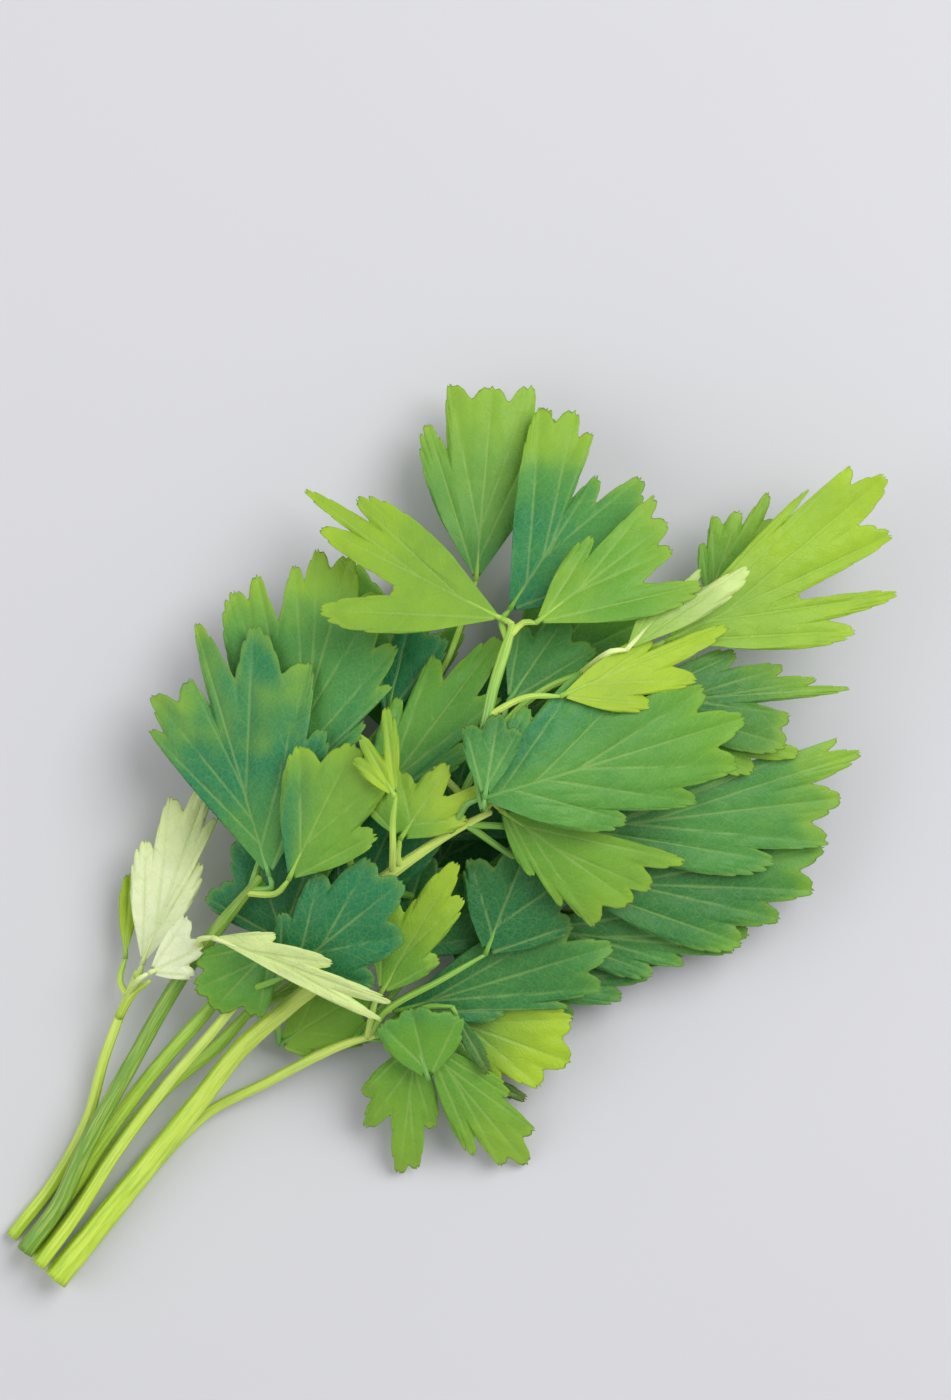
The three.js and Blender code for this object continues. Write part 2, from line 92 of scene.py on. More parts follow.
# The three leaflets at the crown and the one behind them.
CROWN = {
    "crown_back": leaflet((143, 31), ((175, 43), (176, 48), (171, 53), (166, 59), (158, 57)), 4.6,
        "bright", "leaf fresh", lift=3, roll=0.08, notches=(0.95, 0.93, 0.93, 0.82), stalk=((116, 21, 4),
        (130, 25.4, 4.4))),
    "crown_middle": leaflet((143, 23), ((166, 12), (177, 22), (172, 28), (177, 34), (178, 39), (174, 44)),
        7, "deep", "teal leaf fresh", roll=-0.05, notches=(0.9, 0.85, 0.8, 0.95, 0.94),
        stalk=((140.6, 22.6, 8.2),), flanks=(16, 6)),
    "crown_right": leaflet((144.5, 18), ((170, 1), (171, 9), (174, 13), (176, 18), (163, 21)), 9, "bright",
        "fresh grass fresh", lift=2, notches=(0.74, 0.93, 0.94, 0.82), stalk=((143.2, 19.6, 8.9),)),
    "crown_left": leaflet((141, 23), ((139, 57), (134, 65), (131, 58), (120, 48)), 8.7, "bright",
        "fresh fresh lime", roll=0.06, notches=(0.86, 0.86, 0.62)),
    "crown_cover": leaflet((115.6, 3.4), ((129, 7.4), (128.6, 12), (123, 15)), 8.5, "green", "leaf forest",
        notches=(0.93, 0.9)),
}

# The far right sprig, whose tips are the far end of the bunch.
FAR_RIGHT = {
    "far_right": leaflet((158, -1), ((183, -25), (193, -26), (200, -18), (207, -10), (204, -4),
        (196, -1.5)), 7.6, "yellow", "fresh lime", lift=8, roll=0.05, notches=(0.86, 0.6, 0.9, 0.95, 0.84),
        flanks=(9, 3)),
    "far_right_fold": leaflet((152, 3), ((178, -3), (172, 3), (164, 5.5)), 8.62, "pale", "fresh pale",
        lift=4, stalk=((150, 4.8, 8.7),)),
    "far_right_back": leaflet((169, -2), ((188, -1), (191, 3.4), (185, 5), (181, 8), (176, 6)), 5,
        "bright", "grass fresh", lift=2, notches=(0.93, 0.86, 0.9, 0.92), stalk=((156, -2, 5.8),)),
    "yellow_right": leaflet((138, 6), ((148, -7), (157, -10), (168, -7.4), (156.6, 0.6)), 8.33, "yellow",
        "lime lime", notches=(0.9, 0.84, 0.9), stalk=((133.6, 10.4, 8.4),)),
}

# The right side of the head, from the upper blades down to the lowest.
RIGHT_SIDE = {
    "upper_right": leaflet((146, -4), ((159.5, -30), (164, -27), (175, -31.5), (172, -26), (169.5, -20),
        (165.5, -12)), 6.7, "green", "forest fresh", notches=(0.95, 0.78, 0.94, 0.94, 0.88),
        stalk=((127, 3, 6.6), (138, -1, 6.7))),
    "small_right": leaflet((145, -10), ((152, -29), (160, -33), (161, -25)), 6.1, "bright", "grass fresh",
        notches=(0.93, 0.93), stalk=((133, 0, 5.9),)),
    "big_fan": leaflet((115, 4), ((130, -18), (141, -25), (151, -26), (158, -21), (157, -12), (151, -2),
        (144, 6), (133, 9), ), 8, "green", "leaf grass", notches=(0.93, 0.93, 0.93, 0.93, 0.93, 0.9, 0.88),
        stalk=((112.6, 5, 7.6),), shade=("teal", 38)),
    "right_middle": leaflet((122, -12), ((143, -43), (152, -48), (159.5, -44), (168, -41), (167, -36),
        (160, -32), (152, -25)), 5.4, "green", "forest leaf fresh",
        notches=(0.9, 0.93, 0.9, 0.95, 0.93, 0.9), stalk=((118, -7, 5.7),), shade=("deep", 30)),
    "right_lower": leaflet((114, -17), ((128, -49), (136, -51), (144, -52), (151, -48), (150, -40)), 4.5,
        "green", "forest forest grass", notches=(0.94, 0.93, 0.94, 0.93), stalk=((112, -11, 4.6),)),
    "bottom_right": leaflet((104, -19), ((113, -41), (118, -44), (126, -49), (130, -49), (137, -47)), 3.6,
        "green", "forest leaf grass", notches=(0.94, 0.93, 0.95, 0.94), stalk=((77, -12.6, 3.6),
        (92, -17, 3.4))),
    "dark_right": leaflet((88, -14), ((97, -36), (106, -40), (112, -41), (119, -43), (122, -36)), 2.7,
        "green", "deep leaf", notches=(0.94, 0.95, 0.95, 0.94), stalk=((76, -10, 3),)),
    "dark_lower": leaflet((76, -11), ((90, -26), (98, -34), (105, -36), (112, -32), (110, -23)), 4.2,
        "deep", "deep forest leaf", notches=(0.94, 0.94, 0.94, 0.94), shade=("teal", -25)),
    "bright_lower": leaflet((81, -17), ((79, -34), (84, -40), (91, -41), (97, -36)), 3.4, "bright",
        "leaf lime", notches=(0.95, 0.95, 0.94), stalk=((75, -13, 3.6),)),
    "hanging_bright": leaflet((116, 0), ((111.4, -12.6), (110.5, -20), (112, -27), (120, -29), (124, -30),
        (132, -31)), 6.5, "bright", "grass fresh", lift=-1, notches=(0.96, 0.95, 0.93, 0.94, 0.9),
        flanks=(13, 3)),
}

# The leaflets that hang below the head.
HANGING = {
    "hanging_left": leaflet((75, -17.6), ((61, -17), (56.6, -22), (54.6, -32.4), (57.4, -34), (65, -31)),
        4.2, "green", "grass fresh", lift=-7, notches=(0.97, 0.78, 0.97, 0.95), stalk=((75, -14.2, 4),),
        flanks=(10, 13)),
    "hanging_right": leaflet((76, -19), ((66.6, -40), (68.4, -45), (71.8, -48.4), (77.4, -45), (79, -37)),
        4.7, "green", "grass fresh", lift=-8, notches=(0.84, 0.97, 0.97, 0.95),
        stalk=((76.4, -14.8, 4.7),), flanks=(10, 13)),
    "hanging_back": leaflet((71.4, -24), ((73, -10.5), (79, -12.5), (84, -20)), 5.5, "green",
        "grass grass leaf", notches=(0.95, 0.93), flanks=(20, 20), stalk=((75, -15.4, 5.1),)),
    # The two slivers are narrow dark blades that stand partly for painted shade between the hanging
    # leaflets.
    "dark_sliver": leaflet((84, -18), ((79.5, -31.5),), 5, "deep", "forest olive",
        stalk=((80.4, -14.6, 4.7),)),
    "low_sliver": leaflet((77, -29), ((80.6, -40),), 2.4, "green", "leaf olive", stalk=((76.4, -21, 3),)),
}

# Small young leaflets on top of the left half.
YOUNG = {
    "yellow_left": leaflet((100, 9.4), ((111, 3), (118, 4.5), (116, 12), (109, 18), (101, 20)), 7.3,
        "yellow", "grass yellow", notches=(0.88, 0.7, 0.84, 0.78), stalk=((97.6, 7.8, 7),)),
    "small_yellow": leaflet((105, 15), ((115.5, 27.5), (109, 27.5), (104.8, 25.5)), 8.3, "yellow",
        "lime fresh", notches=(0.62, 0.86), stalk=((98.4, 9.6, 7.6), (101.6, 12.6, 8))),
    "yellow_inner": leaflet((77, -7), ((89, -10.5), (100, -6), (104, -1), (92, 6)), 5.7, "bright",
        "grass lime", notches=(0.95, 0.95, 0.78)),
    "dark_inner": leaflet((95, -16), ((110, -24), (118, -18), (115, -8), (106, -2)), 5, "deep",
        "deep forest", notches=(0.92, 0.9, 0.9), stalk=((76, -10, 5.2), (86, -13.2, 5.3))),
}

# The big leaf on the left, in three blades, and the round blades beside it.
LEFT_SIDE = {
    "big_left": leaflet((79, 22), ((105, 33), (112, 43), (110, 55), (103, 63), (95, 57), (88, 60),
        (83, 56)), 7, "green", "leaf teal fresh", notches=(0.9, 0.93, 0.8, 0.84, 0.92, 0.94),
        flanks=(12, 2)),
    "big_left_inner": leaflet((81, 19), ((98, 13), (107, 19), (107, 27), (100, 34)), 7.7, "bright",
        "grass fresh", notches=(0.9, 0.92, 0.9), stalk=((77.6, 19, 7.4),), shade=("teal", 45)),
    "upper_left": leaflet((92, 30), ((111, 28.5), (119, 29), (125, 33.5), (130, 42), (131, 51), (128, 56),
        (123, 57), (117, 61), (112, 62), ), 6, "green", "leaf leaf fresh",
        notches=(0.94, 0.94, 0.92, 0.94, 0.93, 0.93, 0.78, 0.94), stalk=((80.4, 25.4, 6.2),),
        shade=("teal", -50)),
    "round_dark": leaflet((114, 26), ((132, 28), (130, 35), (123, 37)), 4.5, "deep", "teal teal",
        notches=(0.93, 0.93), stalk=((98, 22.6, 4.7),)),
    "round_green": leaflet((100, 17), ((121.5, 11.6), (131, 13.4), (138.6, 21), (128.4, 27.6),
        (118.6, 26.8)), 5.3, "green", "leaf grass", notches=(0.9, 0.9, 0.88, 0.88), stalk=((64, 13.6, 4.8),
        (76, 13.6, 4.5), (90, 15.4, 4.7)), shade=("teal", -30)),
    "round_back": leaflet((131, 12), ((149, 7), (150, 15), (143, 20)), 6.2, "green", "forest leaf",
        notches=(0.85, 0.88), stalk=((122, 7.6, 6),)),
}

# The leaves that fill the middle of the head, deep green as painted shade.
MIDDLE = {
    "middle_left": leaflet((72, 12), ((94, 22), (82, 31), (68, 28)), 5, "deep", "deep teal",
        notches=(0.88, 0.88)),
    "middle_top": leaflet((81, 6), ((106, 5), (107, 14), (98, 24)), 4.2, "deep", "deep teal",
        notches=(0.92, 0.9), stalk=((62.4, 8, 3.7),)),
    "middle_low": leaflet((84, -4), ((98, -15), (105, -8), (101, 4)), 3.6, "deep", "deep forest",
        notches=(0.9, 0.9), stalk=((63, 6, 3.3),)),
    "cover": leaflet((67, 8), ((78, -5), (88, -3), (95, 4), (94, 11), (86, 16), (76, 16)), 7.3, "deep",
        "deep teal", notches=(0.92, 0.93, 0.95, 0.93, 0.92), stalk=((64, 9.4, 6.8),)),
    "core": leaflet((104, 4), ((130, -12), (140, 4), (136, 18), (124, 30)), 2.8, "deep", "deep deep",
        stalk=((66, 5.4, 2.95), (84, 4, 3))),
}

# The pale leaflets where the stems enter the head.
PALE = {
    "pale_left": leaflet((51, 28), ((72, 33), (80, 36), (85, 42), (77, 45), (68, 43)), 4, "pale",
        "cream pale", notches=(0.95, 0.92, 0.93, 0.93)),
    "pale_edge": leaflet((49.5, 31), ((61.5, 41),), 2.8, "bright", "lime lime", stalk=((46, 29, 3),)),
    "pale_fold": leaflet((64, 22), ((74, -10.5), (77.5, -9.5), (75.6, 3), (72.5, 14)), 8.4, "pale",
        "pale pale", notches=(0.8, 0.9, 0.94), stalk=((62, 23.4, 7.6),), flanks=(3, 6)),
    "pale_curl": leaflet((51, 26), ((56.5, 19.5), (61.5, 22), (63.5, 28)), 6.6, "pale", "cream cream",
        notches=(0.88, 0.9)),
    "under_left": leaflet((71, 13), ((58.5, 21.8), (54.4, 18), (54, 13), (58.5, 6)), 6.2, "green",
        "leaf grass", notches=(0.93, 0.95, 0.93)),
    "under_stems": leaflet((57, 0), ((60, -6.5), (70, -12), (76, -5), (73, 3)), 2, "green", "fresh grass",
        notches=(0.93, 0.93, 0.93), stalk=((60, 3, 4.2),)),
}

# The leaves underneath, between the head and the ground.
UNDERNEATH = {
    "ground_middle": leaflet((95, 0), ((115, -14), (126, -8), (128, 6), (118, 16)), 1.2, "deep",
        "deep forest", stalk=((66, 6, 1.8), (80, 3, 1.6))),
    "ground_left": leaflet((88, 16), ((108, 24), (112, 36), (103, 46), (92, 44)), 1.4, "green",
        "forest leaf", stalk=((62, 15.6, 1.9), (75, 16.4, 1.7))),
    "ground_top": leaflet((112, 24), ((136, 28), (140, 40), (130, 50), (118, 50)), 1.7, "green",
        "forest grass", stalk=((86, 20, 2.6),)),
    "ground_far": leaflet((132, 10), ((152, -4), (164, 2), (166, 14), (156, 24)), 1.6, "green",
        "forest grass", stalk=((106, 6, 2.1),)),
    "ground_right": leaflet((126, -8), ((140, -36), (152, -34), (160, -22), (152, -10)), 2.2, "green",
        "forest grass", stalk=((100, -4, 2),)),
    "ground_lower": leaflet((92, -8), ((90, -26), (96, -34), (108, -36), (112, -26)), 1.4, "green",
        "forest grass", stalk=((78, -9, 1.6),)),
}

# The stems. path: points along the middle. radius: at the low end and at the high end.
# A fork is a second path that grows out of the first.
STEMS = {
    "main_stem": dict(path=((-2, 0.5, 4.9), (20, 2, 5), (40, 3.5, 7.4), (52, 4.5, 11), (64, 3.4, 15.4),
        (72, 2.6, 18.8), (78, 5, 22.4), (84, 7.6, 26), (91, 7, 29.6), (103, 4.6, 34.2), (110, 2.6, 36),
        (114.4, 1, 35.6)), radius=(2.3, 0.9), slot="stem_green", tone=("sprout", "shoot")),
    "hanging_stem": dict(path=((-2, 1, 1.2), (20, 1.2, 1.2), (38, 1, 2.2), (50, -3, 5), (64, -8, 10),
        (73, -13, 15.4)), radius=(1.1, 0.85), slot="stem_green", tone=("sprout", "shoot")),
    "fourth_stem": dict(path=((-2, 4.8, 1.7), (10, 6.2, 1.7), (23, 8.6, 1.8), (37, 9.6, 3.6), (49, 8, 7.6),
        (61, 8, 11.6)), radius=(1.5, 1.2), slot="stem_green", tone=("sprout", "fresh")),
    "third_stem": dict(path=((-2, 8.2, 1.7), (12, 9.6, 2.8), (21, 11.2, 4.4), (35, 13, 6.4),
        (51, 13.6, 10.4), (62, 13.8, 15)), radius=(1.5, 1.2), slot="stem_green", tone=("sprout", "fresh")),
    "short_stem": dict(path=((-2, 4.4, 7), (10, 5.8, 7), (23, 8.2, 7.8), (38, 9.8, 10.6), (52, 10.4, 14.4),
        (70.6, 11.6, 18.8)), radius=(1.2, 0.8), slot="stem_green", tone=("sprout", "shoot")),
    "dark_stem": dict(path=((-2, 8, 5.3), (9, 9.4, 6.4), (20, 13, 8), (36, 17, 9.6), (53, 21, 12.6),
        (66, 22.4, 18), (77.5, 23, 24.4)), radius=(1.6, 1.2), slot="stem_dark", tone=("moss", "moss")),
    "left_stem": dict(path=((-2, 11.6, 1.8), (11, 12.8, 2), (23, 16, 3.6), (34, 21.6, 5.6),
        (49.4, 27.8, 9.6)), radius=(1.2, 0.8), slot="stem_green", tone=("sprout", "shoot"),
        fork=dict(path=((41, 24.6, 7.6), (46, 25.6, 10.6), (50, 25, 15)), radius=(0.8, 0.6))),
    "crown_stalk": dict(path=((118.4, 8.2, 41), (123, 10.8, 41.8), (131, 15.6, 42), (141.4, 20.6, 40.6)),
        radius=(0.9, 1), slot="stem_green", tone=("leaf", "fresh")),
    "far_right_stalk": dict(path=((110, 5.4, 33.4), (118, 8, 34.6), (128, 9.8, 34.6), (137, 8.8, 33.4),
        (146, 4.6, 30.9), (155.5, 0.2, 29.2)), radius=(0.7, 0.6), slot="stem_dark",
        tone=("grass", "fresh")),
}


# ---- settings


def length(name, description, default):
    return bpy.props.FloatProperty(
        name=name, description=description, default=default, subtype="DISTANCE", unit="LENGTH"
    )


def share(name, description, default):
    return bpy.props.FloatProperty(
        name=name, description=description, default=default, min=0, subtype="FACTOR"
    )


def power(name, description, default):
    return bpy.props.FloatProperty(
        name=name, description=description, default=default, min=0, unit="POWER"
    )


def colour(name, description, default):
    """A colour whose default is given as red, green and blue levels of 0 to 255."""
    linear = Color([level / 255 for level in default]).from_srgb_to_scene_linear()
    return bpy.props.FloatVectorProperty(
        name=name, description=description, default=linear[:], min=0, max=1, subtype="COLOR"
    )


class ParsleyBladeSettings(bpy.types.PropertyGroup):
    """The sizes of a leaf blade."""

    thickness: length("Thickness", "How thick a blade is away from its edge", 0.00034)
    fineness: length("Fineness", "How far apart the points of a blade's mesh are", 0.0008)
    tooth_length: length("Tooth length", "How long a tooth on a lobe's edge is", 0.0038)
    tooth_depth: length("Tooth depth", "How deep the cut between two teeth is", 0.0014)
    pleat: length("Pleat", "How far a blade rises between its main veins", 0.0009)
    wave: length("Wave", "How far a blade waves up and down", 0.0011)
    quilting: length("Quilting", "How far a blade puffs up between its small veins", 0.00018)
    curl: length("Curl", "How far a blade's edge bends down", 0.0010)
    stalk_low: length("Stalk radius below", "Radius of a leaf stalk where it starts", 0.00065)
    stalk_high: length("Stalk radius above", "Radius of a leaf stalk at the blade", 0.0005)
    midrib: length("Midrib", "How far the stalk goes on under the blade", 0.012)


class ParsleyStemSettings(bpy.types.PropertyGroup):
    """The finish of the stems."""

    ribs: bpy.props.IntProperty(name="Ribs", description="Ribs around a stem", default=7, min=0)
    rib_height: share("Rib height", "Height of a rib, as a share of the stem's radius", 0.06)
    fineness: length("Fineness", "How far apart the rings of a stem's mesh are", 0.0012)


class ParsleyColourSettings(bpy.types.PropertyGroup):
    """The leaf and stem colours, leaves from the darkest to the palest."""

    # Teal and deep are leaf greens darkened as painted shade, for the blades deep in the head.
    teal: colour("Teal", "Bluish green of the deepest blades", (22, 136, 88))
    deep: colour("Deep", "Dark green of blades in the middle of the head", (20, 118, 70))
    # Forest is partly the green of older blades and partly painted shade on the low and inner blades.
    forest: colour("Forest", "Full green of older blades", (56, 134, 68))
    # Olive is partly the slivers' own colour and partly painted shade.
    olive: colour("Olive", "Brownish green of the smallest hanging blades", (88, 118, 52))
    leaf: colour("Leaf", "Middle green", (84, 160, 76))
    grass: colour("Grass", "Lively green of most lobes", (112, 176, 58))
    fresh: colour("Fresh", "Light green of young blades", (150, 196, 62))
    lime: colour("Lime", "Yellow-green of lobes in full light", (184, 216, 52))
    yellow: colour("Yellow", "Yellow of the youngest leaflets", (190, 220, 64))
    pale: colour("Pale", "Whitish green of leaflets by the stems", (234, 248, 172))
    cream: colour("Cream", "Palest leaflets", (248, 253, 218))
    sprout: colour("Sprout", "Bright lower end of a stem", (188, 216, 56))
    shoot: colour("Shoot", "Upper end of a stem", (206, 228, 104))
    moss: colour("Moss", "Shaded stem", (104, 150, 38))
    pith: colour("Pith", "Middle of a cut end", (232, 240, 200))


class ParsleyStageSettings(bpy.types.PropertyGroup):
    """The floor, lights and camera."""

    floor_size: length("Floor size", "Half the width of the floor", 4.0)
    floor_colour: colour("Floor colour", "Colour of the floor", (203, 203, 207))
    aim: bpy.props.FloatVectorProperty(
        name="Aim",
        description="Point that the camera looks straight down at",
        default=(0.0249, 0.0105, 0.02),
        subtype="TRANSLATION",
        unit="LENGTH",
    )
    turn: bpy.props.FloatProperty(
        name="Turn",
        description="How far the camera is turned about its view",
        default=math.radians(-47),
        subtype="ANGLE",
        unit="ROTATION",
    )
    lens: bpy.props.FloatProperty(
        name="Lens", description="Focal length", default=200, subtype="DISTANCE_CAMERA"
    )
    view_height: length("View height", "Height of what the camera sees", 0.252)
    sky: share("Sky", "Brightness of the even light from all round", 0.5)
    key_power: power("Key power", "Power of the main soft light", 11)
    fill_power: power("Fill power", "Power of the second soft light", 4)


SETTINGS = {
    "parsley_blade": ParsleyBladeSettings,
    "parsley_stem": ParsleyStemSettings,
    "parsley_colour": ParsleyColourSettings,
    "parsley_stage": ParsleyStageSettings,
}


# ---- shapes of leaves


def mix(start, end, part):
    return start + (end - start) * part


def smooth(low, high, value):
    part = min(max((value - low) / (high - low), 0), 1)
    return part * part * (3 - 2 * part)


def head_height(x, y):
    along = (x - HEAD_CENTRE[0]) / HEAD_HALF_SIZE[0]
    across = (y - HEAD_CENTRE[1]) / HEAD_HALF_SIZE[1]
    return mix(HEAD_RIM, HEAD_CROWN, math.exp(-HEAD_FALL * (along**2 + across**2)))


def placed(x, y, z):
    """A point of the tables, in millimetres, as a place in the frame, in metres."""
    return Vector((x - CENTRE_OF_FOOTPRINT[0], y - CENTRE_OF_FOOTPRINT[1], z - LOWEST_STEM)) * MM


def lobes_of(leaf):
    """The way a blade points, and its lobes as a turn in degrees and a reach each."""
    base, tips = leaf["base"], leaf["tips"]
    middle = [sum(tip[axis] for tip in tips) / len(tips) for axis in (0, 1)]
    heading = math.atan2(middle[1] - base[1], middle[0] - base[0])
    lobes = []
    for tip in tips:
        away = (tip[0] - base[0], tip[1] - base[1])
        turn = math.remainder(math.atan2(away[1], away[0]) - heading, math.tau)
        lobes.append((math.degrees(turn), math.hypot(*away)))
    return heading, sorted(lobes)


# One tooth as steps along the edge, each with the share of the full depth it is cut by.
TOOTH = ((0, 1), (0.14, 0.45), (0.38, 0.0), (0.66, 0.04), (0.88, 0.5))

# A shallow notch leaves full round lobes, and a deep one leaves slim lobes far apart.
LOBE_FULLNESS = 2.0
SHALLOW_NOTCH = 0.92
DEEP_NOTCH = 0.66
SLIM_LOBE = (0.05, 0.9)

# A tooth's depth: its least share, the share left to chance, the length of a lobe's side
# from which teeth are full, and how much shallower they get towards a notch.
LEAST_TOOTH = 0.55
TOOTH_CHANCE = 0.9
CHANCE_STEP = 3.7
FULL_SIDE = 4
TOOTH_FADE = 0.6


def fallen(part, deepness):
    """How far the edge has come down from a lobe's tip, part of the way to its notch."""
    return mix(part**LOBE_FULLNESS, smooth(*SLIM_LOBE, part), deepness)


def lobe_side(tip, notch, blade, deepness=0):
    """Columns from a lobe's tip to the notch beside it, with teeth along the way."""
    side = math.hypot(
        tip[1] - notch[1], math.radians(abs(notch[0] - tip[0])) * (tip[1] + notch[1]) / 2
    )
    teeth = max(1, round(side * MM / blade.tooth_length))
    columns = []
    for tooth in range(teeth):
        chance = 0.5 + noise.noise(Vector((tip[0], tip[1], CHANCE_STEP * tooth + notch[0])))
        depth = blade.tooth_depth / MM * min(1, side / FULL_SIDE)
        depth *= LEAST_TOOTH + TOOTH_CHANCE * chance
        for step, cut in TOOTH:
            part = (tooth + step) / teeth
            reach = mix(tip[1], notch[1], fallen(part, deepness))
            if part > 0:
                reach -= depth * cut * (1 - TOOTH_FADE * part)
            columns.append((mix(tip[0], notch[0], part), reach))
    return columns


def outline_of(leaf, blade):
    """The edge of a blade as columns around its base, from one flank to the other."""
    heading, lobes = lobes_of(leaf)
    notches = leaf.get("notches", (USUAL_NOTCH,) * (len(lobes) - 1))
    first, last = lobes[0], lobes[-1]
    low_turn, high_turn = leaf.get("flanks", (FLANK_TURN, FLANK_TURN))
    low_flank = (first[0] - low_turn, first[1] * FLANK_REACH)
    high_flank = (last[0] + high_turn, last[1] * FLANK_REACH)
    columns = [low_flank] + lobe_side(first, low_flank, blade)[:0:-1]
    for index, lobe in enumerate(lobes[:-1]):
        after = lobes[index + 1]
        notch = (mix(lobe[0], after[0], 0.5), notches[index] * min(lobe[1], after[1]))
        deepness = 1 - smooth(DEEP_NOTCH, SHALLOW_NOTCH, notches[index])
        columns += lobe_side(lobe, notch, blade, deepness) + [notch]
        columns += lobe_side(after, notch, blade, deepness)[:0:-1]
    columns += lobe_side(last, high_flank, blade) + [high_flank]
    return heading, lobes, columns


# How far up the midrib the last side vein leaves it, as a share of the lobe's reach.
LAST_BRANCH = 0.5
NAME_SEEDS = 997


class Blade:
    """The curved surface that a leaf blade lies in."""

    def __init__(self, name, leaf, settings):
        self.leaf = leaf
        self.settings = settings
        self.heading, self.lobes, self.columns = outline_of(leaf, settings)
        self.longest = max(reach for turn, reach in self.lobes)
        self.seed = sum(ord(letter) * place for place, letter in enumerate(name, 1)) % NAME_SEEDS

    def veins_at(self, distance):
        """The turn of each lobe's vein at a distance: it leaves the midrib, then runs out."""
        middle = min((turn for turn, reach in self.lobes), key=abs)
        widest = max(abs(turn - middle) for turn, reach in self.lobes) or 1
        turns = []
        for turn, reach in self.lobes:
            leaves = LAST_BRANCH * reach * (1 - abs(turn - middle) / widest)
            bent = max(0, 1 - leaves / max(distance, 0.1)) / (1 - leaves / reach)
            turns.append(mix(middle, turn, bent))
        return turns

    def surface(self, turn, distance):
        base = self.leaf["base"]
        angle = self.heading + math.radians(turn)
        x = base[0] + distance * math.cos(angle)
        y = base[1] + distance * math.sin(angle)
        across = distance * math.sin(angle - self.heading)
        far = distance / self.longest
        z = head_height(x, y) * self.leaf["level"] / LEVELS
        z += self.leaf.get("lift", 0) * far**2 + self.leaf.get("roll", 0) * across
        return x, y, z

    def beside_vein(self, turn, distance):
        """How far a place is from the nearest main vein, straight across and along it."""
        swing = min(abs(turn - vein) for vein in self.veins_at(distance))
        swing = math.radians(min(swing, 90))
        return distance * math.sin(swing), distance * math.cos(swing)

    def in_pleat(self, turn, distance):
        """How far up its pleat a place is, from vein to crest, and how wide the pleat is."""
        turns = self.veins_at(distance)
        nearest = min(turns, key=lambda vein: abs(turn - vein))
        others = [vein for vein in turns if (vein - nearest) * (turn - nearest) > 0]
        gap = min((abs(vein - nearest) for vein in others), default=2 * FLANK_TURN)
        return min(abs(turn - nearest) / gap, 0.5) * 2, distance * math.radians(gap)


# The blade's relief: where it starts and where it is full, as the pleat's width or the
# distance in millimetres, or as a share of the way to the edge, and its noise's steps to a
# millimetre.
PLEAT_ROUNDNESS = 0.8
PLEAT_WIDTH = (1, 9)
WAVE_GRAIN = 0.07
WAVE_REACH = (0.1, 0.7)
QUILT_GRAIN = 0.55
QUILT_DISTANCE = (2, 8)
CURL_GRAIN = 0.12
CURL_REACH = (0.72, 1)
CURL_SEED = Vector((40, 0, 0))


def relief(blade, turn, distance, outward, place):
    """How far the blade's middle stands above the smooth surface, in millimetres."""
    settings = blade.settings
    up_pleat, width = blade.in_pleat(turn, distance)
    pleat = settings.pleat / MM * math.sin(up_pleat * math.pi / 2) ** PLEAT_ROUNDNESS
    pleat *= smooth(*PLEAT_WIDTH, width)
    wave = settings.wave / MM * noise.noise(place * WAVE_GRAIN) * smooth(*WAVE_REACH, outward)
    quilt = settings.quilting / MM * noise.noise(place * QUILT_GRAIN)
    quilt *= smooth(*QUILT_DISTANCE, distance)
    curl = settings.curl / MM * smooth(*CURL_REACH, outward) ** 2
    curl *= 0.5 + noise.noise(place * CURL_GRAIN + CURL_SEED)
    return pleat + wave + quilt - curl


# ---- meshes

# Points closer than this, in metres, become one, and shorter edges than this go.
DOUBLES = 1e-6
DEGENERATE = 1e-7


def grid(build, columns, rows):
    """A grid of columns by rows of faces, as its vertices by column and row."""
    made = bmesh.ops.create_grid(build, x_segments=columns, y_segments=rows, size=0.5)
    table = {}
    for vertex in made["verts"]:
        column = round((vertex.co.x + 0.5) * columns)
        row = round((vertex.co.y + 0.5) * rows)
        table[column, row] = vertex
    return table


def started():
    """An empty shape and the layers that its points keep: place by the veins, and colour."""
    build = bmesh.new()
    layers = build.verts.layers
    return build, (layers.float_vector.new("vein"), layers.float_color.new("tone"))


def finished(build, name, materials):
    """Closes the seams of a built shape and makes it a piece."""
    bmesh.ops.remove_doubles(build, verts=build.verts, dist=DOUBLES)
    bmesh.ops.dissolve_degenerate(build, edges=build.edges, dist=DEGENERATE)
    bmesh.ops.recalc_face_normals(build, faces=build.faces)
    for face in build.faces:
        face.smooth = True
    mesh = bpy.data.meshes.new(name)
    build.to_mesh(mesh)
    build.free()
    for material in materials:
        mesh.materials.append(material)
    piece = bpy.data.objects.new(name, mesh)
    bpy.context.scene.collection.objects.link(piece)
    return piece


def toned(colours, tone, part):
    """A colour part of the way along the named ones of a tone, in scene-linear levels."""
    steps = [Vector(getattr(colours, name)) for name in tone]
    reached = min(max(part, 0), 1) * (len(steps) - 1)
    step = min(int(reached), len(steps) - 2)
    return steps[step].lerp(steps[step + 1], smooth(0, 1, reached - step))


# How far out on a blade its painted shade starts to fade.
SHADE_END = 0.6


def painted_side_shade(colours, shade, turn, outward):
    """The painted shade on one side of a blade: its colour, and how much of it."""
    name, full_turn = shade
    side = smooth(0, 1, turn / full_turn)
    return Vector(getattr(colours, name)), side * (1 - smooth(SHADE_END, 1, outward))


def smooth_path(points, step):
    """Points at even steps along a smooth line through the given ones."""
    knots = [Vector(point) for point in points]
    ends = [2 * knots[0] - knots[1]] + knots + [2 * knots[-1] - knots[-2]]
    line = [knots[0]]
    for index in range(len(knots) - 1):
        before, start, end, after = ends[index : index + 4]
        span = (end - start).length
        leaving = (end - before).normalized() * span / 3
        arriving = (after - start).normalized() * span / 3
        count = max(2, round(span / step) + 1)
        line += interpolate_bezier(start, start + leaving, end - arriving, end, count)[1:]
    return line


